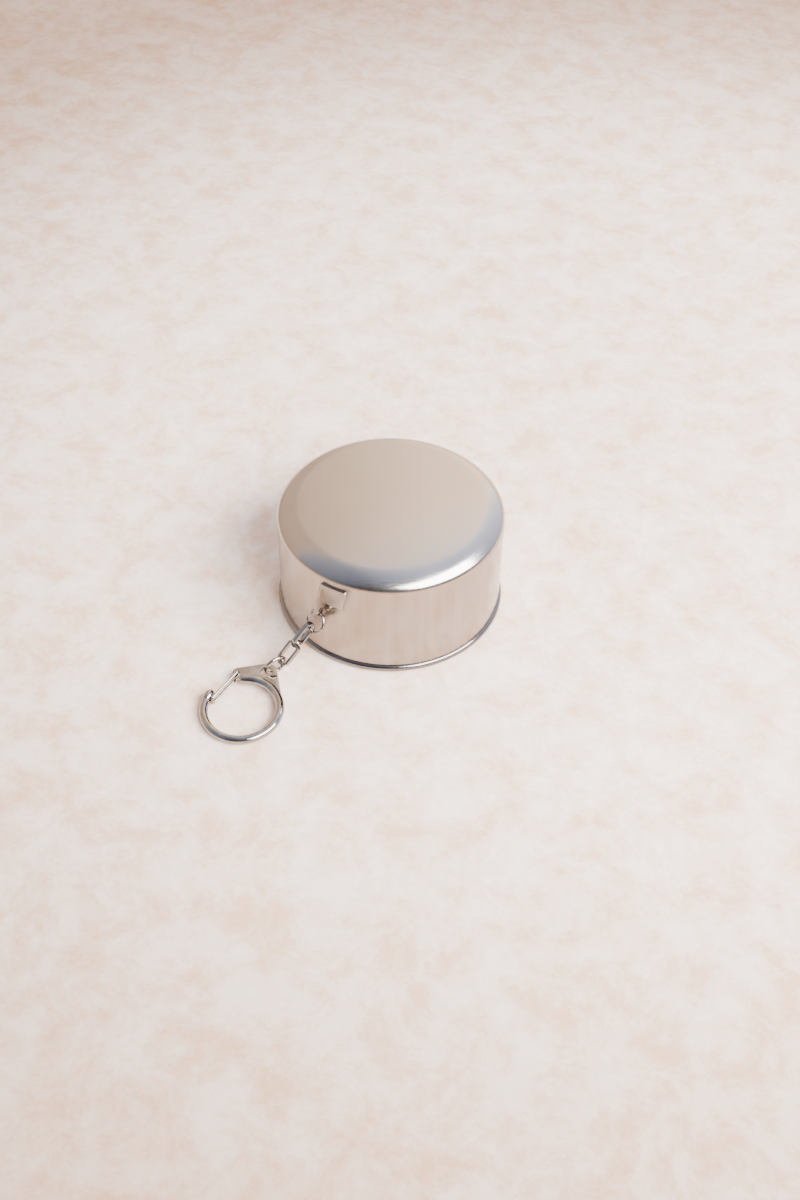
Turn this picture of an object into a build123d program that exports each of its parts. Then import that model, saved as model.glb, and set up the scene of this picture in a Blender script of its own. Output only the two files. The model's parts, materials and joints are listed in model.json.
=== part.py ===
from build123d import *
import os
from math import cos, radians, sin, tan

# Collapsible travel cup, closed, standing on its foot, with its cap on and its key-ring chain laid out.
# Origin: centre of the foot's underside. +Z runs up the cup's axis, the cap's lug faces -Y. Millimetres.

# Sheet and fits
sheet = 0.5                # stainless sheet of every drawn shell
seat_gap = 0.1             # loose seat between two shells
slide_gap = 0.05           # radial clearance of a sliding or turning fit

# Foot saucer
foot_bead_r = 1.1          # radius of the rolled edge
foot_r = 32.7              # outside radius over the rolled edge

# Telescoping sections
section_count = 4
section_h = 28.1
section_rise = 2.2         # growth of a section's radius from bottom to top
section_travel = 20.0      # lift of each section when the cup is opened
base_r = 20.77             # outside radius of the smallest section, at its bottom
stop_bead_r = 0.3          # radius of the bead round the top of the inner sections
lip_r = 0.75               # radius of the drinking lip's roll
lip_outer_r = 31.4

# Cap
cap_r = 32.0
cap_wall_top = 30.2        # where the straight wall ends
corner_r = 2.5             # tight first bend of the shoulder
corner_turn = 45
shoulder_r = 12.0          # wide second bend of the shoulder
shoulder_turn = 43

# Lug: a tab welded to the cap's wall, with an ear that stands out
lug_t = 0.7
tab_w_top, tab_w_bottom = 8.0, 6.6
tab_low, tab_high = 22.4, 29.0
ear_eye = (33.5, 19.3)     # centre of the ear's hole: radius from the axis, height
ear_eye_r = 1.3
ear_nose_r = 2.1

# Jump rings
ring_mean_r = 3.1
ring_wire_r = 0.5
ring_cut = 2.5             # angle left open between the wire's ends, degrees

# Swivel: two bails on one rivet
bail_w = 4.2
bail_h = 7.6
bail_strip_t = 0.7
bail_strip_w = 1.3
bail_face_gap = 0.15
rivet_r = 0.4
rivet_head_r = 1.15
rivet_head_h = 0.6

# Clip
clip_mean_r = 10.4
clip_wire_r = 1.2
clip_web_t = 0.9
clip_eye = 14.0            # from the ring's centre to the eye's centre
clip_eye_r = 1.7
clip_eye_lobe_r = 2.9
clip_start = -27           # the bar's thick end near the gate's pivot, degrees from the eye
clip_tip = -86             # the hook's tip
clip_pivot = (-6.9, 10.4)
clip_pivot_lobe_r = 1.7
clip_side = 62             # where the web runs out into the bar, degrees from the eye
clip_side_r = 0.95
tip_pad_r = 1.5
tip_pad_h = 3.5
tip_pad_round = 0.9
gate_end = (-8.68, -0.9)
gate_wire_r = 0.35
gate_leg = 1.2             # height of each leg above and below the clip's mid plane
gate_bend_r = 0.5

# Where the chain lies
ring_hook = Vector(0, -33.6, 18.7)           # where the lug's ring passes the ear
ring_hang = Vector(-0.15, -0.42, -0.895).normalized()
ring_side = Vector(0.966, -0.259, 0)
bail_angle = 25                              # where the upper bail sits, round the lug's ring
swivel_foot = Vector(-6.2, -44.2, 3.25)     # tip of the lower bail
bail_room = 0.5                              # slack between the clip's ring and the lower bail's end
upper_turn, lower_turn = 80, -10             # how each bail is turned about the rivet
clip_ring_head = Vector(-0.36, -0.93, 0.05).normalized()
clip_ring_lean = 10
clip_eye_at = Vector(-7.75, -48.4, 2.45)
clip_head = Vector(-0.17, 0.984, 0.05).normalized()


def export(name, part):
    """Label a finished piece and write it."""
    part.label = name
    export_step(part, f"parts/{name}.step")


def jump_ring(centre, outward, up):
    """Round wire bent to a circle, its ends almost closed. outward and up span its plane."""
    face = Plane(origin=centre, x_dir=outward, z_dir=outward.cross(up))
    with BuildPart() as ring:
        with BuildSketch(Plane(origin=centre, x_dir=outward, z_dir=up)):
            with Locations((ring_mean_r, 0)):
                Circle(ring_wire_r)
        revolve(axis=Axis(centre, face.z_dir), revolution_arc=360 - ring_cut)
    return ring.part


def bail(tip, along, across):
    """Flat strip bent to a closed bail with a flat base, tip first, with the rivet's hole in the base."""
    face = Plane(origin=tip, x_dir=across, z_dir=across.cross(-along))
    with BuildPart() as link:
        with BuildSketch(face) as outline:
            with Locations((0, bail_h / 2)):
                Rectangle(bail_w, bail_h)
            fillet(outline.vertices().group_by(Axis.Y)[0], bail_w / 2 - 0.05)
            fillet(outline.vertices().group_by(Axis.Y)[-1], 0.9)
            offset(amount=-bail_strip_t, kind=Kind.INTERSECTION, mode=Mode.SUBTRACT)
        extrude(amount=bail_strip_w / 2, both=True)
        with BuildSketch(Plane(origin=tip - along * bail_h, z_dir=along)):
            Circle(rivet_r + slide_gap)
        extrude(amount=bail_strip_t + slide_gap, mode=Mode.SUBTRACT)
    return link.part


os.makedirs("parts", exist_ok=True)

# Foot saucer: a flat floor inside a rolled edge
bead_ring_r = foot_r - foot_bead_r
with BuildPart() as foot_saucer:
    with BuildSketch(Plane.XZ):
        with Locations((bead_ring_r / 2, sheet / 2)):
            Rectangle(bead_ring_r, sheet)
        with Locations((bead_ring_r, foot_bead_r)):
            Circle(foot_bead_r)
    revolve(axis=Axis.Z)
export("foot_saucer", foot_saucer.part)

# Telescoping sections, smallest first. The bead at the top of each jams in the wall of the next one out.
section_z = sheet + seat_gap
slope = section_rise / section_h
bead_height = section_h - stop_bead_r
bead_reach = bead_height * slope + stop_bead_r * 0.8
step = bead_reach + slide_gap + sheet - slope * (bead_height - section_travel)
for number in range(1, section_count + 1):
    low_r = base_r + step * (number - 1)
    high_r = low_r + section_rise
    bottom = section_z if number > 1 else sheet
    with BuildPart() as section:
        with BuildSketch(Plane.XZ):
            with BuildLine():
                Polyline(
                    (low_r, bottom), (high_r, section_z + section_h),
                    (high_r - sheet, section_z + section_h), (low_r - sheet, bottom), close=True,
                )
            make_face()
            if number == 1:
                with Locations((low_r / 2, bottom + sheet / 2)):
                    Rectangle(low_r, sheet)
            if number < section_count:
                with Locations((low_r + bead_reach - stop_bead_r, section_z + bead_height)):
                    Circle(stop_bead_r)
            else:
                with Locations((lip_outer_r - lip_r, section_z + section_h)):
                    Circle(lip_r)
        revolve(axis=Axis.Z)
    export("bottom_cup" if number == 1 else f"section_{number}", section.part)

# Cap: a drawn shell with a straight wall, a two-radius shoulder and a faintly domed top
cap_foot = foot_bead_r * 2 + seat_gap


def cap_outline(inset):
    """Half section of the cap's solid form, pulled in by inset."""
    with BuildSketch(Plane.XZ) as outline:
        with BuildLine():
            wall = Line((cap_r - inset, cap_foot), (cap_r - inset, cap_wall_top))
            corner = JernArc(
                start=wall @ 1, tangent=wall % 1, radius=corner_r - inset, arc_size=corner_turn
            )
            shoulder = JernArc(
                start=corner @ 1, tangent=corner % 1, radius=shoulder_r - inset, arc_size=shoulder_turn
            )
            crown_tilt = radians(90 - corner_turn - shoulder_turn)
            crown_top = (shoulder @ 1).Y + (shoulder @ 1).X * tan(crown_tilt / 2)
            crown = TangentArc(shoulder @ 1, (0, crown_top), tangent=shoulder % 1)
            Polyline(crown @ 1, (0, cap_foot), wall @ 0)
        make_face()
    return outline.sketch


with BuildPart() as cap_shell:
    with BuildSketch(Plane.XZ):
        add(cap_outline(0))
        add(cap_outline(sheet), mode=Mode.SUBTRACT)
    revolve(axis=Axis.Z)
export("cap_shell", cap_shell.part)

# Lug: tab along the wall, ear standing out of it with the ring's hole
eye_r, eye_z = ear_eye
with BuildPart() as cap_lug:
    with BuildSketch(Plane.XZ.offset(cap_r - 2)):
        with BuildLine():
            Polyline(
                (0, tab_high), (tab_w_top, tab_high), (tab_w_bottom, tab_low), (0, tab_low), close=True
            )
        make_face()
    extrude(amount=3)
    with BuildSketch(Plane.XY.offset(tab_low - 1)):
        Circle(cap_r + lug_t)
        Circle(cap_r, mode=Mode.SUBTRACT)
    extrude(amount=tab_high - tab_low + 2, mode=Mode.INTERSECT)
    fillet(cap_lug.edges().filter_by(Axis.Y).group_by(Axis.X)[-1], 0.8)
    with BuildSketch(Plane.YZ) as ear:
        with BuildLine():
            Polyline(
                (-cap_r, tab_high), (-cap_r - 2.9, tab_high - 5.0), (-eye_r - ear_nose_r, eye_z),
                (-eye_r, eye_z - ear_nose_r), (-cap_r, eye_z - ear_nose_r - 0.5), close=True,
            )
        make_face()
        with Locations((-eye_r, eye_z)):
            Circle(ear_nose_r)
            Circle(ear_eye_r, mode=Mode.SUBTRACT)
        with Locations((-cap_r + 5, eye_z + 5)):
            Rectangle(10, 40, mode=Mode.SUBTRACT)
    extrude(amount=lug_t / 2, both=True)
    with BuildSketch(Plane.XY):
        Circle(cap_r)
    extrude(amount=cap_wall_top, mode=Mode.SUBTRACT)
export("cap_lug", cap_lug.part)

# Ring in the lug's ear
side_1 = (ring_side - ring_hang * ring_side.dot(ring_hang)).normalized()
lug_ring_centre = ring_hook + ring_hang * ring_mean_r
export("lug_ring", jump_ring(lug_ring_centre, side_1, ring_hang))

# Swivel: upper bail on the lug's ring, lower bail towards the clip, one rivet through both
around = radians(bail_angle)
bail_hook = lug_ring_centre + (ring_hang * cos(around) - side_1 * sin(around)) * ring_mean_r
along = (swivel_foot - bail_hook).normalized()
level = Vector(0, 0, 1).cross(along).normalized()
raised = along.cross(level).normalized()
bail_gap = bail_strip_t + ring_wire_r + 0.32
upper_tip = bail_hook - along * bail_gap
upper_across = level * cos(radians(upper_turn)) + raised * sin(radians(upper_turn))
lower_across = level * cos(radians(lower_turn)) + raised * sin(radians(lower_turn))
export("swivel_upper_bail", bail(upper_tip, -along, upper_across))
lower_tip = upper_tip + along * (2 * bail_h + bail_face_gap)
export("swivel_lower_bail", bail(lower_tip, along, lower_across))
rivet_mid = upper_tip + along * (bail_h + bail_face_gap / 2)
rivet_half = bail_strip_t + bail_face_gap / 2
rivet_face = Plane(origin=rivet_mid, x_dir=level, z_dir=level.cross(along))
with BuildPart() as swivel_rivet:
    with BuildSketch(rivet_face):
        with BuildLine():
            rivet_top = rivet_half + rivet_head_h
            for end in (1, -1):
                TangentArc((0, end * rivet_top), (rivet_head_r, end * rivet_half), tangent=(1, 0))
                Line((rivet_head_r, end * rivet_half), (rivet_r, end * rivet_half))
            Line((rivet_r, rivet_half), (rivet_r, -rivet_half))
            Line((0, rivet_top), (0, -rivet_top))
        make_face()
    revolve(axis=Axis(rivet_mid, along))
export("swivel_rivet", swivel_rivet.part)

# Ring between the swivel and the clip
bail_bar = lower_tip - along * bail_strip_t / 2
lean_side = Vector(0, 0, 1).cross(clip_ring_head).normalized()
lean = radians(clip_ring_lean)
ring_up = Vector(0, 0, 1) * cos(lean) + lean_side * sin(lean)
ring_up = (ring_up - clip_ring_head * ring_up.dot(clip_ring_head)).normalized()
clip_ring_play = ring_mean_r - ring_wire_r - bail_strip_t / 2 - bail_room
clip_ring_centre = bail_bar + clip_ring_head * clip_ring_play
export("clip_ring", jump_ring(clip_ring_centre, -ring_up, clip_ring_head))

# Clip: a round bar bent to an open ring, with a flat web that carries the eye and the gate's pivot
clip_right = clip_head.cross(Vector(0, 0, 1)).normalized()
clip_up = clip_right.cross(clip_head).normalized()
clip_centre = clip_eye_at - clip_head * clip_eye
clip_plane = Plane(origin=clip_centre, x_dir=clip_right, z_dir=clip_up)


def on_clip(point, height=0.0):
    """A point of the clip's own plane, in the cup's frame."""
    return clip_plane.from_local_coords(Vector(point[0], point[1], height))


def clip_bar(angle):
    """Plane across the round bar at an angle from the eye, positive to the right."""
    turn = radians(angle)
    outward = clip_right * sin(turn) + clip_head * cos(turn)
    return Plane(origin=clip_centre + outward * clip_mean_r, x_dir=outward, z_dir=outward.cross(clip_up))


side_lobe = (clip_mean_r * sin(radians(clip_side)), clip_mean_r * cos(radians(clip_side)))
with BuildPart() as clip_body:
    with BuildSketch(clip_bar(clip_start)):
        Circle(clip_wire_r)
    revolve(axis=Axis(clip_centre, -clip_up), revolution_arc=360 + clip_tip - clip_start)
    with Locations(clip_bar(clip_start).location):
        Sphere(clip_wire_r)
    with BuildSketch(clip_plane):
        with Locations(clip_pivot):
            Circle(clip_pivot_lobe_r)
        with Locations((0, clip_eye)):
            Circle(clip_eye_lobe_r)
        with Locations(side_lobe):
            Circle(clip_side_r)
        make_hull()
        Circle(clip_mean_r, mode=Mode.SUBTRACT)
        with Locations((0, clip_eye)):
            Circle(clip_eye_r, mode=Mode.SUBTRACT)
        with Locations(clip_pivot):
            Circle(gate_wire_r + slide_gap, mode=Mode.SUBTRACT)
    extrude(amount=clip_web_t / 2, both=True)
    tip_centre = clip_bar(clip_tip).origin
    with BuildSketch(Plane(origin=tip_centre, x_dir=clip_right, z_dir=clip_right.cross(clip_up))):
        RectangleRounded(tip_pad_r * 2, tip_pad_h, tip_pad_round)
        with Locations((-tip_pad_r, 0)):
            Rectangle(tip_pad_r * 2, tip_pad_h, mode=Mode.SUBTRACT)
    revolve(axis=Axis(tip_centre, clip_up))
export("clip_body", clip_body.part)

# Gate: one spring wire, both legs hooked into the web's pivot hole, its closed end behind the hook's tip
gate_plane = Plane(
    origin=on_clip(clip_pivot),
    x_dir=on_clip(gate_end) - on_clip(clip_pivot),
    z_dir=(on_clip(gate_end) - on_clip(clip_pivot)).cross(clip_up),
)
gate_reach = (on_clip(gate_end) - on_clip(clip_pivot)).length
with BuildPart() as clip_gate:
    with BuildLine(gate_plane) as wire:
        FilletPolyline(
            (0, 0.12), (0, gate_leg), (gate_reach, gate_leg),
            (gate_reach, -gate_leg), (0, -gate_leg), (0, -0.12), radius=gate_bend_r,
        )
    with BuildSketch(Plane(origin=wire.line @ 0, z_dir=wire.line % 0)):
        Circle(gate_wire_r)
    sweep()
export("clip_gate", clip_gate.part)
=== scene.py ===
import json
from math import asin, cos, degrees, pi, radians, sin

import bmesh
import bpy
from mathutils import Matrix, Vector


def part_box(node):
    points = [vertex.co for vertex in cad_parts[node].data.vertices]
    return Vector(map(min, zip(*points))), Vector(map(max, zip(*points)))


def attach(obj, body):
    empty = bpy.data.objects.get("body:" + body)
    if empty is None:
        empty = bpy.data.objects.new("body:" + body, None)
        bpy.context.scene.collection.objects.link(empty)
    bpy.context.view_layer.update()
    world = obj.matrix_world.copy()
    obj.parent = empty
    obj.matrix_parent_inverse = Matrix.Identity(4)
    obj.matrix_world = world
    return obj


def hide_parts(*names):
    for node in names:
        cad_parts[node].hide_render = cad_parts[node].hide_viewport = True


# Collapsible travel cup in stainless steel: foot pan, four telescoping walls and a spun cap with a lug,
# then two jump rings, a riveted swivel and a round snap clip. Shapes are drawn in millimetres and put
# into the row frame, which is in metres, when each piece is finished.

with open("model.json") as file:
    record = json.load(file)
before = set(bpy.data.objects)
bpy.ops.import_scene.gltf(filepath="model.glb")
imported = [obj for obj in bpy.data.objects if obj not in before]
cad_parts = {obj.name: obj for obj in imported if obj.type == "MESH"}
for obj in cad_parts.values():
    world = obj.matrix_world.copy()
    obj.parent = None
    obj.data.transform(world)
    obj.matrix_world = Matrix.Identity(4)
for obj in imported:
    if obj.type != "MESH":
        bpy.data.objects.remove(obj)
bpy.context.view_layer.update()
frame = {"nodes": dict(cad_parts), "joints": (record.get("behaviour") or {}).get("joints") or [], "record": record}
joints = {joint["name"]: joint for joint in frame["joints"]}

# ---------------------------------------------------------------- sizes

sheet = 0.5                 # stainless sheet of every drawn wall

foot_bead_r = 1.1
foot_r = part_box("foot_saucer")[1].x * 1000

wall_low = 0.6              # where the loose walls stand on the foot
wall_h = 28.1
wall_rise = 2.2
wall_beads = 0.3
wall_floor_bend = 1.2       # outside bend between the smallest wall and its floor
wall_rim_flat = 0.12        # width of the flat inside each wall's rim
lip_r = 0.75
lip_join_out, lip_join_down = 0.613, 0.43    # from the rolled lip's centre to where the wall meets it

cap_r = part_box("cap_shell")[1].x * 1000
cap_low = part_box("cap_shell")[0].z * 1000
cap_wall_top = 30.2
corner_r, corner_turn = 2.5, 45
shoulder_r, shoulder_turn = 8.886, 39

ring_r = 3.1
ring_wire = 0.5
ring_split = 2.5            # degrees left open where a jump ring's ends meet

lug_edge = 0.2
bail_edge = 0.12
rivet_half = 0.775          # half the length between the rivet's heads
rivet_head_r = 1.15
rivet_head_h = 0.6
rivet_r = 0.4

clip_r = 10.4
clip_bar = 1.2
clip_web = 0.9
web_pivot_r, web_eye_r = 1.7, 2.9
web_side_r, web_side_turn = 0.95, 62
web_eye_hole, web_pivot_hole = 1.7, 0.42
web_edge = 0.34
knob_half = Vector((1.45, 2.3, 1.75))
knob_back = 0.75            # how far the hook's knob runs back along the bar
knob_face = Vector((0.35, 1.05, 0))
knob_face_out = Vector((0.5, 0.86, 0))
knob_edge = 0.15
clip_start, clip_tip = -27, -86
clip_pivot = Vector((-6.9, 10.4, 0))
clip_eye = Vector((0, 14.0, 0))
gate_end = Vector((-8.68, -0.9, 0))
gate_wire = 0.35
gate_leg = 1.2
gate_bend = 0.5
gate_gap = 0.12             # half the gap between the gate wire's two ends

round_cup = 192             # facets round the cup
table_half = 2.5            # metres
table_drop = 0.00003        # metres that the board lies below the foot


# ---------------------------------------------------------------- drawing

def only(kind, things):
    """The first thing of one kind out of what an operator hands back."""
    return next(thing for thing in things if isinstance(thing, kind))


class Profile:
    """A wire drawn beside a turning axis: distance out, then height."""

    def __init__(self, out, height):
        self.mesh = bmesh.new()
        self.end = bmesh.ops.create_vert(self.mesh, co=(out, 0, height))["vert"][0]
        self.start = self.end

    def line(self, out, height):
        """A straight run to a point."""
        pulled = bmesh.ops.extrude_vert_indiv(self.mesh, verts=[self.end])
        self.end = pulled["verts"][0]
        bmesh.ops.translate(self.mesh, verts=[self.end], vec=Vector((out, 0, height)) - self.end.co)

    def arc(self, out, height, turn, steps):
        """A bend about a centre, anticlockwise in degrees."""
        spun = bmesh.ops.spin(
            self.mesh, geom=[self.end], cent=(out, 0, height), axis=(0, -1, 0),
            angle=radians(turn), steps=steps,
        )
        self.end = only(bmesh.types.BMVert, spun["geom_last"])

    def close(self):
        """Joins the wire's two ends."""
        self.line(self.start.co.x, self.start.co.z)
        bmesh.ops.remove_doubles(self.mesh, verts=self.mesh.verts[:], dist=1e-4)

    def turned(self, steps):
        """Spins the wire once round the axis into a closed skin."""
        bmesh.ops.spin(
            self.mesh, geom=self.mesh.verts[:] + self.mesh.edges[:], cent=(0, 0, 0), axis=(0, 0, 1),
            angle=2 * pi, steps=steps, use_merge=True,
        )
        bmesh.ops.remove_doubles(self.mesh, verts=self.mesh.verts[:], dist=1e-4)
        bmesh.ops.recalc_face_normals(self.mesh, faces=self.mesh.faces[:])
        return self.mesh


class Wire:
    """Round wire led along a path. It starts as a disc, then is pushed straight or bent."""

    def __init__(self, at, heading, thickness, segments=20):
        self.mesh = bmesh.new()
        facing = Vector(heading).to_track_quat("Z", "Y").to_matrix().to_4x4()
        bmesh.ops.create_circle(
            self.mesh, cap_ends=True, segments=segments, radius=thickness,
            matrix=Matrix.Translation(at) @ facing,
        )
        self.tip = self.mesh.faces[:][0]
        self.at = Vector(at)
        self.heading = Vector(heading).normalized()

    def push(self, length):
        """A straight run."""
        pulled = bmesh.ops.extrude_face_region(self.mesh, geom=[self.tip])
        self.tip = only(bmesh.types.BMFace, pulled["geom"])
        bmesh.ops.translate(self.mesh, verts=self.tip.verts[:], vec=self.heading * length)
        self.at += self.heading * length

    def bend(self, centre, axis, turn, steps):
        """A bend about a centre, by the right-hand rule in degrees."""
        tip = [self.tip] + self.tip.edges[:] + self.tip.verts[:]
        spun = bmesh.ops.spin(
            self.mesh, geom=tip, cent=centre, axis=axis, angle=radians(turn), steps=steps,
        )
        self.tip = only(bmesh.types.BMFace, spun["geom_last"])
        turning = Matrix.Rotation(radians(turn), 3, axis)
        self.at = Vector(centre) + turning @ (self.at - Vector(centre))
        self.heading = turning @ self.heading

    def finished(self):
        """The wire as a closed skin that faces outwards."""
        bmesh.ops.recalc_face_normals(self.mesh, faces=self.mesh.faces[:])
        return self.mesh


def finish_piece(name, mesh, where, metal, body, nodes, sharp=35):
    """Puts a drawn shape in its place in the row frame, as one piece that stands for CAD nodes."""
    bmesh.ops.transform(mesh, verts=mesh.verts[:], matrix=Matrix.Scale(0.001, 4) @ where)
    for face in mesh.faces:
        face.smooth = True
    for edge in mesh.edges:
        edge.smooth = not edge.is_manifold or edge.calc_face_angle() < radians(sharp)
    data = bpy.data.meshes.new(name)
    mesh.to_mesh(data)
    mesh.free()
    piece = bpy.data.objects.new(name, data)
    bpy.context.scene.collection.objects.link(piece)
    data.materials.append(metal)
    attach(piece, body)
    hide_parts(*nodes)


def eased(node, width, steps=2):
    """A stamped piece's own shape with its cut edges rounded over."""
    mesh = bmesh.new()
    mesh.from_mesh(frame["nodes"][node].data)
    bmesh.ops.scale(mesh, vec=(1000, 1000, 1000), verts=mesh.verts[:])
    bmesh.ops.remove_doubles(mesh, verts=mesh.verts[:], dist=1e-3)
    bmesh.ops.dissolve_limit(
        mesh, angle_limit=radians(0.8), verts=mesh.verts[:], edges=mesh.edges[:],
        use_dissolve_boundaries=False,
    )
    corners = [e for e in mesh.edges if e.is_manifold and e.calc_face_angle() > radians(40)]
    bmesh.ops.bevel(
        mesh, geom=corners, offset=width, offset_type="OFFSET", segments=steps, profile=0.5,
        affect="EDGES", clamp_overlap=True, material=-1,
    )
    return mesh


# ---------------------------------------------------------------- materials

def linear(hex_colour):
    """An sRGB hex colour as the linear colour that a shader wants."""
    channels = [int(hex_colour[i:i + 2], 16) / 255 for i in (1, 3, 5)]
    curve = [c / 12.92 if c <= 0.04045 else ((c + 0.055) / 1.055) ** 2.4 for c in channels]
    return (*curve, 1.0)


def add_node(tree, kind, settings=None, **links):
    """A node with its settings, its constant inputs and its incoming links."""
    node = tree.nodes.new(kind)
    for key, value in (settings or {}).items():
        setattr(node, key, value)
    for key, value in links.items():
        name = key.replace("_", " ")
        numbered = name.startswith("in") and name[2:].isdigit()
        socket = node.inputs[int(name[2:])] if numbered else node.inputs[name]
        if isinstance(value, bpy.types.NodeSocket):
            tree.links.new(value, socket)
        else:
            socket.default_value = value
    return node


def new_material(name):
    """An empty material with its tree, its output and the object's own coordinates in metres."""
    material = bpy.data.materials.new(name)
    material.use_nodes = True
    tree = material.node_tree
    tree.nodes.clear()
    output = tree.nodes.new("ShaderNodeOutputMaterial")
    place = tree.nodes.new("ShaderNodeTexCoord").outputs["Object"]
    return material, tree, output, place


def brushed_steel_cap():
    """Deep-drawn 304 stainless, belt-brushed up the wall and mopped in circles over the top."""
    material, tree, output, place = new_material("brushed_304_stainless_cap")
    height = add_node(tree, "ShaderNodeSeparateXYZ", Vector=place).outputs["Z"]
    # Wall: hairlines 0.35 mm apart and about 25 mm long run up it, in bands 2.4 mm wide; both are coarser
    # than the real ones, so they show
    stretched = add_node(
        tree, "ShaderNodeMapping", Vector=place, Scale=(1.0, 1.0, 0.014),
    ).outputs["Vector"]
    hairline = add_node(
        tree, "ShaderNodeTexNoise", Vector=stretched, Scale=2800.0, Detail=3.0, Roughness=0.6,
    ).outputs["Fac"]
    broad = add_node(
        tree, "ShaderNodeTexNoise", Vector=stretched, Scale=420.0, Detail=2.0, Roughness=0.5,
    ).outputs["Fac"]
    # Top: polishing mop marks, rings 0.75 mm apart that wander
    rings = add_node(
        tree, "ShaderNodeTexWave",
        {"wave_type": "RINGS", "rings_direction": "Z", "wave_profile": "SIN"},
        Vector=place, Scale=420.0, Distortion=9.0, Detail=4.0, Detail_Scale=0.8,
    ).outputs["Fac"]
    # Handling: cloudy patches about 12 mm across where fingers have dulled the shine
    cloud = add_node(
        tree, "ShaderNodeTexNoise", Vector=place, Scale=85.0, Detail=4.0, Roughness=0.55,
    ).outputs["Fac"]
    on_top = add_node(
        tree, "ShaderNodeMapRange", {"interpolation_type": "SMOOTHSTEP"},
        Value=height, From_Min=0.0300, From_Max=0.0340,
    ).outputs["Result"]
    grain = add_node(
        tree, "ShaderNodeMix", {"data_type": "FLOAT"}, Factor=on_top, in2=hairline, in3=rings,
    ).outputs["Result"]
    # Specks: pinprick dings about 0.4 mm across, a few over the whole cap
    ding = add_node(
        tree, "ShaderNodeTexVoronoi", {"feature": "F1"}, Vector=place, Scale=105.0, Randomness=1.0,
    ).outputs["Distance"]
    dings = add_node(
        tree, "ShaderNodeMapRange", Value=ding, From_Min=0.012, From_Max=0.028,
    ).outputs["Result"]
    rough_grain = add_node(
        tree, "ShaderNodeMapRange", Value=grain, From_Min=0.25, From_Max=0.75, To_Min=0.15, To_Max=0.19,
    ).outputs["Result"]
    rough_cloud = add_node(
        tree, "ShaderNodeMapRange", Value=cloud, From_Min=0.3, From_Max=0.7, To_Min=0.0, To_Max=0.05,
    ).outputs["Result"]
    roughness = add_node(
        tree, "ShaderNodeMath", {"operation": "ADD"}, in0=rough_grain, in1=rough_cloud,
    ).outputs["Value"]
    tone_pick = add_node(
        tree, "ShaderNodeMapRange", Value=broad, From_Min=0.3, From_Max=0.7,
    ).outputs["Result"]
    # The drawn wall is painted a little darker than the mopped top, as painted shade
    wall_tone_painted_shade = add_node(
        tree, "ShaderNodeMix", {"data_type": "RGBA"}, Factor=tone_pick,
        in6=linear("#988c80"), in7=linear("#a2968a"),
    ).outputs[2]
    top_tone = add_node(
        tree, "ShaderNodeMix", {"data_type": "RGBA"}, Factor=cloud,
        in6=linear("#ada398"), in7=linear("#b4aaa0"),
    ).outputs[2]
    tone = add_node(
        tree, "ShaderNodeMix", {"data_type": "RGBA"}, Factor=on_top, in6=wall_tone_painted_shade, in7=top_tone,
    ).outputs[2]
    marked = add_node(
        tree, "ShaderNodeMix", {"data_type": "RGBA"}, Factor=dings, in6=linear("#6f6961"), in7=tone,
    ).outputs[2]
    wavy = add_node(
        tree, "ShaderNodeBump", Height=cloud, Strength=0.03, Distance=0.0003,
    ).outputs["Normal"]
    brushed = add_node(
        tree, "ShaderNodeBump", Height=grain, Strength=0.03, Distance=0.00001, Normal=wavy,
    ).outputs["Normal"]
    dented = add_node(
        tree, "ShaderNodeBump", Height=dings, Strength=0.5, Distance=0.00006, Normal=brushed,
    ).outputs["Normal"]
    steel = add_node(
        tree, "ShaderNodeBsdfPrincipled", Base_Color=marked, Metallic=1.0, Roughness=roughness, Normal=dented,
    )
    tree.links.new(steel.outputs["BSDF"], output.inputs["Surface"])
    return material


def drawn_steel(name, dark, light):
    """Deep-drawn 304 stainless, barrel-polished: bright, with the drawing die's faint rings."""
    material, tree, output, place = new_material(name)
    # Draw lines left by the die, 0.8 mm apart up the wall
    stretched = add_node(
        tree, "ShaderNodeMapping", Vector=place, Scale=(0.03, 0.03, 1.0),
    ).outputs["Vector"]
    drawn = add_node(
        tree, "ShaderNodeTexNoise", Vector=stretched, Scale=1250.0, Detail=3.0, Roughness=0.6,
    ).outputs["Fac"]
    # Barrel polish: soft unevenness about 6 mm across
    uneven = add_node(
        tree, "ShaderNodeTexNoise", Vector=place, Scale=170.0, Detail=3.0, Roughness=0.5,
    ).outputs["Fac"]
    roughness = add_node(
        tree, "ShaderNodeMapRange", Value=uneven, From_Min=0.3, From_Max=0.7, To_Min=0.10, To_Max=0.19,
    ).outputs["Result"]
    tone = add_node(
        tree, "ShaderNodeMix", {"data_type": "RGBA"}, Factor=drawn,
        in6=linear(dark), in7=linear(light),
    ).outputs[2]
    wavy = add_node(
        tree, "ShaderNodeBump", Height=uneven, Strength=0.2, Distance=0.0002,
    ).outputs["Normal"]
    lined = add_node(
        tree, "ShaderNodeBump", Height=drawn, Strength=0.15, Distance=0.00002, Normal=wavy,
    ).outputs["Normal"]
    steel = add_node(
        tree, "ShaderNodeBsdfPrincipled", Base_Color=tone, Metallic=1.0, Roughness=roughness, Normal=lined,
    )
    tree.links.new(steel.outputs["BSDF"], output.inputs["Surface"])
    return material


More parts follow.
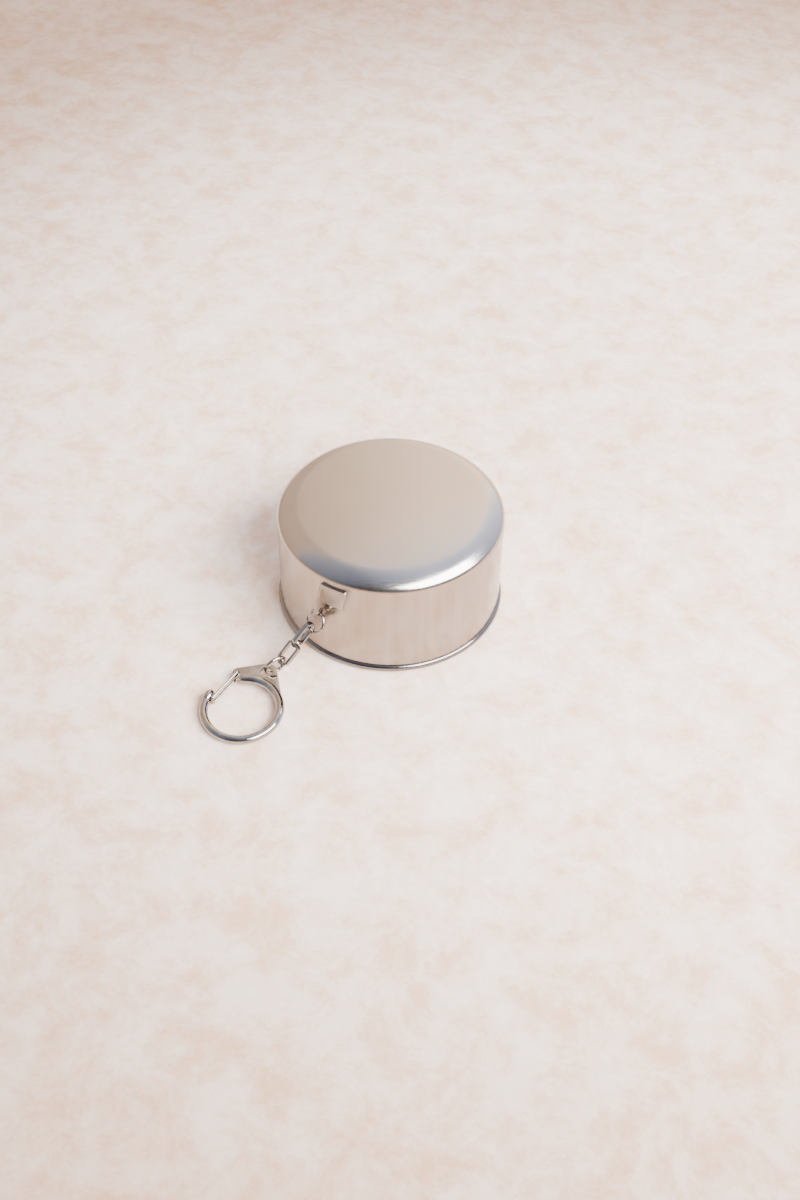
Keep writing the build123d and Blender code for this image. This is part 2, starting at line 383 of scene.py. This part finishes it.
def small_fitting(name, shine_low, shine_high, light, dark):
    """Small metal parts finished loose in a barrel: bright, with a slight orange peel and rubbed places."""
    material, tree, output, place = new_material(name)
    # Orange peel of barrel plating, 0.7 mm from crest to crest
    peel = add_node(
        tree, "ShaderNodeTexNoise", Vector=place, Scale=1400.0, Detail=2.0, Roughness=0.5,
    ).outputs["Fac"]
    # Rubbed and dulled places about 2.5 mm long, where links touch each other
    rubbed = add_node(
        tree, "ShaderNodeTexNoise", Vector=place, Scale=400.0, Detail=3.0, Roughness=0.6,
    ).outputs["Fac"]
    roughness = add_node(
        tree, "ShaderNodeMapRange", Value=rubbed, From_Min=0.3, From_Max=0.7,
        To_Min=shine_low, To_Max=shine_high,
    ).outputs["Result"]
    tone = add_node(
        tree, "ShaderNodeMix", {"data_type": "RGBA"}, Factor=rubbed, in6=linear(light), in7=linear(dark),
    ).outputs[2]
    peeled = add_node(
        tree, "ShaderNodeBump", Height=peel, Strength=0.2, Distance=0.00004,
    ).outputs["Normal"]
    nickel = add_node(
        tree, "ShaderNodeBsdfPrincipled", Base_Color=tone, Metallic=1.0, Roughness=roughness, Normal=peeled,
    )
    tree.links.new(nickel.outputs["BSDF"], output.inputs["Surface"])
    return material


def limewashed_board():
    """Pale lime-washed board under the cup: matt cream with peach clouds and a few dark flecks, with painted shade
    towards its edges.
    """
    material, tree, output, place = new_material("limewashed_board")
    # Limewash clouds about 15 mm across, broken up into dabs a few millimetres wide
    clouds = add_node(
        tree, "ShaderNodeTexNoise", Vector=place, Scale=68.0, Detail=12.0, Roughness=0.80, Distortion=0.3,
    ).outputs["Fac"]
    washed = add_node(
        tree, "ShaderNodeMapRange", Value=clouds, From_Min=0.40, From_Max=0.58,
    ).outputs["Result"]
    painted = add_node(
        tree, "ShaderNodeMix", {"data_type": "RGBA"}, Factor=washed,
        in6=linear("#e8be99"), in7=linear("#fbe5d4"),
    ).outputs[2]
    # Painted shade: the board is painted darker and browner all round, from 130 mm out from its middle, where the
    # light falls off
    middle = (0.006, 0.114, 0.0)
    centred = add_node(
        tree, "ShaderNodeVectorMath", {"operation": "DISTANCE"}, in0=place, in1=middle,
    ).outputs["Value"]
    painted_falloff_shade = add_node(
        tree, "ShaderNodeMapRange", {"interpolation_type": "SMOOTHSTEP"},
        Value=centred, From_Min=0.13, From_Max=0.35,
    ).outputs["Result"]
    colour = add_node(
        tree, "ShaderNodeMix", {"data_type": "RGBA", "blend_type": "MULTIPLY"}, Factor=painted_falloff_shade,
        in6=painted, in7=linear("#b1a294"),
    ).outputs[2]
    # Flecks: specks under 2 mm across and about 60 mm apart, where the board shows through
    fleck = add_node(
        tree, "ShaderNodeTexVoronoi", {"feature": "F1"}, Vector=place, Scale=16.0, Randomness=1.0,
    ).outputs["Distance"]
    flecks = add_node(
        tree, "ShaderNodeMapRange", Value=fleck, From_Min=0.008, From_Max=0.014,
    ).outputs["Result"]
    flecked = add_node(
        tree, "ShaderNodeMix", {"data_type": "RGBA"}, Factor=flecks, in6=linear("#a08a78"), in7=colour,
    ).outputs[2]
    # Grit in the limewash, about 1.1 mm from grain to grain
    grain = add_node(
        tree, "ShaderNodeTexNoise", Vector=place, Scale=900.0, Detail=4.0, Roughness=0.6,
    ).outputs["Fac"]
    bump = add_node(
        tree, "ShaderNodeBump", Height=grain, Strength=0.15, Distance=0.0002,
    ).outputs["Normal"]
    board = add_node(
        tree, "ShaderNodeBsdfPrincipled", Base_Color=flecked, Roughness=0.75, Normal=bump,
    )
    tree.links.new(board.outputs["BSDF"], output.inputs["Surface"])
    return material


cap_steel = brushed_steel_cap()
wall_steel = drawn_steel("polished_304_stainless_walls", "#8f8780", "#a8a099")
# Foot: the same steel painted in a darker tone as painted shade, so its rolled edge reads as a dark line under the
# cap
foot_steel_painted_shade = drawn_steel("polished_304_stainless_foot_painted_shade", "#66615d", "#857f7a")
# Rings, rivet, clip and gate: plated wire and casting, the brightest metal here
chain_nickel = small_fitting("nickel_plated_steel_wire", 0.05, 0.14, "#b1aaa0", "#756e66")
# Bails: plated strip, slightly duller on its flats than the wire
strip_nickel = small_fitting("nickel_plated_steel_strip", 0.08, 0.18, "#aaa399", "#736c64")
# Lug: stamped stainless sheet, tumbled satin, so it blurs what it mirrors
lug_steel = small_fitting("barrelled_304_stainless_lug", 0.26, 0.38, "#b0a59a", "#958a80")

# ---------------------------------------------------------------- foot and walls

upright = Matrix.Identity(4)

pan = Profile(0, 0)
pan.line(20, 0)
pan.line(foot_r - foot_bead_r, 0)
pan.arc(foot_r - foot_bead_r, foot_bead_r, 262, 28)
pan.line(foot_r - foot_bead_r * 2 - 0.25, sheet)
pan.line(20, sheet)
pan.line(0, sheet)
finish_piece("foot_pan", pan.turned(round_cup), upright, foot_steel_painted_shade, "base", ["foot_saucer"])

wall_names = ["bottom_cup", "section_2", "section_3"]
wall_bodies = ["base", "second", "third"]
for number, (node, body) in enumerate(zip(wall_names, wall_bodies)):
    low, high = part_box(node)
    low_z, top_z = low.z * 1000, high.z * 1000
    bead_out = high.x * 1000 - wall_beads
    bead_z = wall_low + wall_h - wall_beads
    top_out = bead_out + wall_beads * 0.2
    low_out = top_out - (wall_h - wall_beads) * wall_rise / wall_h
    if number == 0:
        wall = Profile(0, low_z)
        wall.line(low_out - wall_floor_bend, low_z)
        wall.arc(low_out - wall_floor_bend, low_z + wall_floor_bend, 86, 8)
    else:
        wall = Profile(low_out - sheet, low_z + sheet / 2)
        wall.arc(low_out - sheet / 2, low_z + sheet / 2, 180, 8)
    wall.line(top_out, bead_z - wall_beads * 0.98)
    wall.arc(bead_out, bead_z, 168, 12)
    wall.line(top_out - sheet + wall_rim_flat, top_z)
    wall.line(top_out - sheet, top_z - wall_rim_flat)
    if number == 0:
        wall.line(low_out - sheet, low_z + wall_floor_bend)
        wall.arc(low_out - wall_floor_bend, low_z + wall_floor_bend, -86, 8)
        wall.line(low_out - wall_floor_bend, low_z + sheet)
        wall.line(0, low_z + sheet)
    else:
        wall.close()
    finish_piece(node + "_wall", wall.turned(round_cup), upright, wall_steel, body, [node])

low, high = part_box("section_4")
lip_out = high.x * 1000 - lip_r
lip_z = wall_low + wall_h
top_out = lip_out - lip_join_out
low_out = top_out - wall_rise
rim = Profile(low_out - sheet, low.z * 1000 + sheet / 2)
rim.arc(low_out - sheet / 2, low.z * 1000 + sheet / 2, 180, 8)
rim.line(top_out, lip_z - lip_join_down)
rim.arc(lip_out, lip_z, 314, 32)
rim.line(top_out - sheet, lip_z - 0.3)
rim.close()
finish_piece("drinking_wall", rim.turned(round_cup), upright, wall_steel, "outer", ["section_4"])

# ---------------------------------------------------------------- cap

crown_tilt = 90 - corner_turn - shoulder_turn
corner_at = Vector((cap_r - corner_r, cap_wall_top))
bend = Vector((cos(radians(corner_turn)), sin(radians(corner_turn))))
shoulder_at = corner_at - bend * (shoulder_r - corner_r)
crown_out = shoulder_at.x + shoulder_r * sin(radians(crown_tilt))
crown_z = shoulder_at.y + shoulder_r * cos(radians(crown_tilt))
crown_r = crown_out / sin(radians(crown_tilt))
crown_at = crown_z - crown_r * cos(radians(crown_tilt))

cap = Profile(0, crown_at + crown_r)
cap.arc(0, crown_at, -crown_tilt, 16)
cap.arc(shoulder_at.x, shoulder_at.y, -shoulder_turn, 20)
cap.arc(corner_at.x, corner_at.y, -corner_turn, 12)
cap.line(cap_r, cap_low + 8)
cap.line(cap_r, cap_low + sheet / 2)
cap.arc(cap_r - sheet / 2, cap_low + sheet / 2, -180, 8)
cap.line(cap_r - sheet, cap_wall_top)
cap.arc(corner_at.x, corner_at.y, corner_turn, 12)
cap.arc(shoulder_at.x, shoulder_at.y, shoulder_turn, 20)
cap.arc(0, crown_at, crown_tilt, 16)
finish_piece("spun_cap", cap.turned(round_cup), upright, cap_steel, "cap", ["cap_shell"])

finish_piece("welded_lug", eased("cap_lug", lug_edge, 4), upright, lug_steel, "cap", ["cap_lug"])

# ---------------------------------------------------------------- jump rings and swivel

ring_hook = Vector((0, -33.6, 18.7))
ring_hang = Vector((-0.15, -0.42, -0.895)).normalized()
ring_side = Vector((0.966, -0.259, 0))
ring_side = (ring_side - ring_hang * ring_side.dot(ring_hang)).normalized()


def jump_ring(name, centre, outward, up, body, node):
    """Wire wound once round a mandrel and cut, its two ends almost meeting."""
    facing = outward.cross(up).normalized()
    lying = Matrix((outward, facing.cross(outward), facing)).transposed().to_4x4()
    lying.translation = centre
    ring = Wire((ring_r, 0, 0), (0, 1, 0), ring_wire, 24)
    ring.bend((0, 0, 0), (0, 0, 1), 360 - ring_split, 72)
    finish_piece(name, ring.finished(), lying, chain_nickel, body, [node])


jump_ring("lug_jump_ring", ring_hook + ring_hang * ring_r, ring_side, ring_hang, "lug_ring", "lug_ring")

clip_ring_at = Vector(joints["clip_swing"]["pos_m"]) * 1000
clip_ring_facing = Vector(joints["clip_swing"]["axis"])
clip_ring_head = Vector((-0.36, -0.93, 0.05)).normalized()
clip_ring_up = clip_ring_head.cross(clip_ring_facing).normalized()
jump_ring("clip_jump_ring", clip_ring_at, -clip_ring_up, clip_ring_head, "clip_ring", "clip_ring")

for bail in ("upper_bail", "lower_bail"):
    node = "swivel_" + bail
    finish_piece(bail, eased(node, bail_edge, 3), upright, strip_nickel, bail, [node])

rivet_at = Vector(joints["swivel_turn"]["pos_m"]) * 1000
rivet_along = Vector(joints["swivel_turn"]["axis"])
head_r = (rivet_head_r ** 2 + rivet_head_h ** 2) / (2 * rivet_head_h)
head_turn = degrees(asin(rivet_head_r / head_r))
rivet = Profile(0, rivet_half + rivet_head_h)
rivet.arc(0, rivet_half + rivet_head_h - head_r, -head_turn, 8)
rivet.line(rivet_r, rivet_half)
rivet.line(rivet_r, -rivet_half)
rivet.line(rivet_head_r, -rivet_half)
rivet.arc(0, -rivet_half - rivet_head_h + head_r, -head_turn, 8)
rivet_place = rivet_along.to_track_quat("Z", "Y").to_matrix().to_4x4()
rivet_place.translation = rivet_at
finish_piece("swivel_rivet_pin", rivet.turned(32), rivet_place, chain_nickel, "upper_bail", ["swivel_rivet"])

# ---------------------------------------------------------------- clip

loop = next(mount for mount in frame["record"]["mounts"] if mount["name"] == "clip_loop")
clip_up = Vector(loop["axis"])
clip_head = Vector((-0.17, 0.984, 0.05))
clip_right = clip_head.cross(clip_up).normalized()
clip_place = Matrix((clip_right, clip_up.cross(clip_right), clip_up)).transposed().to_4x4()
clip_place.translation = Vector(loop["pos_m"]) * 1000


def on_bar(turn, out=clip_r):
    """A point of the clip's bar, at an angle from the eye, positive to the right."""
    return Vector((sin(radians(turn)) * out, cos(radians(turn)) * out, 0))


bar_heading = Vector((cos(radians(clip_start)), -sin(radians(clip_start)), 0))
bar = Wire(on_bar(clip_start), bar_heading, clip_bar, 32)
bar.bend((0, 0, 0), (0, 0, 1), -(360 + clip_tip - clip_start), 120)
bar = bar.finished()
bmesh.ops.create_uvsphere(
    bar, u_segments=32, v_segments=20, radius=clip_bar, matrix=Matrix.Translation(on_bar(clip_start)),
)
finish_piece("clip_bar", bar, clip_place, chain_nickel, "clip", ["clip_body"], 50)

# Hook: the bar's end is upset into a flattened knob with a flat face for the gate
knob = bmesh.new()
bmesh.ops.create_uvsphere(knob, u_segments=40, v_segments=24, radius=1)
bmesh.ops.scale(knob, vec=knob_half, verts=knob.verts[:])
bmesh.ops.translate(knob, vec=(0, -knob_back, 0), verts=knob.verts[:])
sliced = bmesh.ops.bisect_plane(
    knob, geom=knob.verts[:] + knob.edges[:] + knob.faces[:], plane_co=knob_face,
    plane_no=knob_face_out, clear_outer=True,
)
rim_edges = [e for e in sliced["geom_cut"] if isinstance(e, bmesh.types.BMEdge)]
bmesh.ops.edgeloop_fill(knob, edges=rim_edges)
bmesh.ops.bevel(
    knob, geom=rim_edges, offset=knob_edge, offset_type="OFFSET", segments=3, profile=0.5, affect="EDGES",
    clamp_overlap=True, material=-1,
)
bmesh.ops.recalc_face_normals(knob, faces=knob.faces[:])
tip_place = clip_place @ Matrix.Translation(on_bar(clip_tip))
finish_piece("clip_hook_knob", knob, tip_place, chain_nickel, "clip", ["clip_body"], 60)


def pillar(mesh, at, radius, height, segments):
    """An upright cylinder."""
    bmesh.ops.create_cone(
        mesh, cap_ends=True, segments=segments, radius1=radius, radius2=radius, depth=height,
        matrix=Matrix.Translation(at),
    )


def cut(mesh, cutter):
    """The first shape with the second one taken out of it."""
    blanks = []
    for shape in (mesh, cutter):
        data = bpy.data.meshes.new("blank")
        shape.to_mesh(data)
        shape.free()
        blank = bpy.data.objects.new("blank", data)
        bpy.context.scene.collection.objects.link(blank)
        blanks.append(blank)
    punch = blanks[0].modifiers.new("punch", "BOOLEAN")
    punch.operation = "DIFFERENCE"
    punch.solver = "EXACT"
    punch.object = blanks[1]
    ready = blanks[0].evaluated_get(bpy.context.evaluated_depsgraph_get())
    left = bmesh.new()
    left.from_mesh(ready.to_mesh())
    for blank in blanks:
        bpy.data.objects.remove(blank)
    return left


web = bmesh.new()
pillar(web, clip_pivot, web_pivot_r, clip_web, 48)
pillar(web, clip_eye, web_eye_r, clip_web, 64)
pillar(web, on_bar(web_side_turn), web_side_r, clip_web, 32)
hull = bmesh.ops.convex_hull(web, input=web.verts[:])
spare = set(hull["geom_interior"]) | set(hull["geom_unused"])
bmesh.ops.delete(web, geom=[v for v in spare if isinstance(v, bmesh.types.BMVert)], context="VERTS")
holes = ((Vector(), clip_r, 128), (clip_eye, web_eye_hole, 48), (clip_pivot, web_pivot_hole, 24))
for at, radius, segments in holes:
    punch = bmesh.new()
    pillar(punch, at, radius, 4, segments)
    web = cut(web, punch)
bmesh.ops.remove_doubles(web, verts=web.verts[:], dist=1e-4)
bmesh.ops.dissolve_limit(web, angle_limit=radians(0.5), verts=web.verts[:], edges=web.edges[:])
rims = [e for e in web.edges if e.is_manifold and e.calc_face_angle() > radians(60)]
bmesh.ops.bevel(
    web, geom=rims, offset=web_edge, offset_type="OFFSET", segments=5, profile=0.5, affect="EDGES",
    clamp_overlap=True, material=-1,
)
finish_piece("clip_web", web, clip_place, chain_nickel, "clip", ["clip_body"])

# Gate: one spring wire that leaves the pivot hole, runs to the hook's pad and comes back below
reach = gate_end - clip_pivot
run = reach.length
gate_side = Vector((0, 0, 1)).cross(reach).normalized()
gate_turn = Matrix((reach.normalized(), gate_side, (0, 0, 1))).transposed().to_4x4()
gate_place = clip_place @ Matrix.Translation(clip_pivot) @ gate_turn
gate = Wire((0, 0, gate_gap), (0, 0, 1), gate_wire, 16)
gate.push(gate_leg - gate_bend - gate_gap)
gate.bend((gate_bend, 0, gate_leg - gate_bend), (0, 1, 0), 90, 8)
gate.push(run - gate_bend * 2)
gate.bend((run - gate_bend, 0, gate_leg - gate_bend), (0, 1, 0), 90, 8)
gate.push((gate_leg - gate_bend) * 2)
gate.bend((run - gate_bend, 0, gate_bend - gate_leg), (0, 1, 0), 90, 8)
gate.push(run - gate_bend * 2)
gate.bend((gate_bend, 0, gate_bend - gate_leg), (0, 1, 0), 90, 8)
gate.push(gate_leg - gate_bend - gate_gap)
finish_piece("spring_gate", gate.finished(), gate_place, chain_nickel, "gate", ["clip_gate"])

# ---------------------------------------------------------------- table, light and camera

slab = bmesh.new()
bmesh.ops.create_grid(
    slab, x_segments=1, y_segments=1, size=table_half, matrix=Matrix.Translation((0, 0, -table_drop)),
)
table_data = bpy.data.meshes.new("table_top")
slab.to_mesh(table_data)
slab.free()
table_top = bpy.data.objects.new("table_top", table_data)
bpy.context.scene.collection.objects.link(table_top)
table_data.materials.append(limewashed_board())

view_turn = Matrix.Rotation(radians(35), 3, "Z")    # the view's own axes: +Y away from the camera, +X right


def area_light(name, direction, distance, width, height, power, colour):
    """A soft panel that faces the cup from a direction given in the view's own axes."""
    lamp = bpy.data.lights.new(name, "AREA")
    lamp.shape = "RECTANGLE"
    lamp.size = width
    lamp.size_y = height
    lamp.energy = power
    lamp.color = linear(colour)[:3]
    panel = bpy.data.objects.new(name, lamp)
    bpy.context.scene.collection.objects.link(panel)
    away = view_turn @ Vector(direction).normalized()
    panel.location = away * distance
    panel.rotation_mode = "QUATERNION"
    panel.rotation_quaternion = away.to_track_quat("Z", "Y")


area_light("window", (0.58, -0.44, 0.68), 1.1, 1.15, 0.60, 78.0, "#f6f8ff")

# Room: a warm wall behind and round to the left, pale blue daylight overhead, and a darker side in front;
# all of it is dimmer on the left
world = bpy.data.worlds.new("room")
bpy.context.scene.world = world
world.use_nodes = True
sky = world.node_tree
sky.nodes.clear()
gaze = add_node(sky, "ShaderNodeTexCoord").outputs["Generated"]
away = view_turn @ Vector((-0.46, 0.89, 0)).normalized()
depth = add_node(
    sky, "ShaderNodeVectorMath", {"operation": "DOT_PRODUCT"}, in0=gaze, in1=tuple(away),
).outputs["Value"]
ramp = add_node(sky, "ShaderNodeValToRGB", Fac=add_node(
    sky, "ShaderNodeMapRange", Value=depth, From_Min=-1.0, From_Max=1.0,
).outputs["Result"])
stops = ramp.color_ramp.elements
stops[0].position = 0.22
stops[0].color = linear("#585d66")
stops[1].position = 0.80
stops[1].color = linear("#f4d9c4")
for position, colour in ((0.38, "#8690ad"), (0.58, "#a3acc5"), (0.70, "#bcc4d8"), (0.765, "#f6e4da")):
    stops.new(position).color = linear(colour)
rightwards = view_turn @ Vector((1, 0, 0))
across = add_node(
    sky, "ShaderNodeVectorMath", {"operation": "DOT_PRODUCT"}, in0=gaze, in1=tuple(rightwards),
).outputs["Value"]
falloff = add_node(
    sky, "ShaderNodeMapRange", {"interpolation_type": "SMOOTHSTEP"},
    Value=across, From_Min=-0.32, From_Max=0.30, To_Min=1.6, To_Max=4.8,
).outputs["Result"]
backdrop = add_node(sky, "ShaderNodeBackground", Color=ramp.outputs["Color"], Strength=falloff)
result = sky.nodes.new("ShaderNodeOutputWorld")
sky.links.new(backdrop.outputs["Background"], result.inputs["Surface"])

lens = bpy.data.cameras.new("camera")
lens.lens = 45.0
lens.sensor_width = 36.0
lens.clip_start = 0.01
lens.clip_end = 20.0
camera = bpy.data.objects.new("camera", lens)
bpy.context.scene.collection.objects.link(camera)
looking = Vector((-0.39451, 0.574945, -0.716798)).normalized()
right = looking.cross(Vector((-0.418982, 0.581707, 0.697188))).normalized()
camera_place = Matrix((right, right.cross(looking), -looking)).transposed().to_4x4()
camera_place.translation = Vector((0.178429, -0.254823, 0.315465))
camera.matrix_world = camera_place
bpy.context.scene.camera = camera
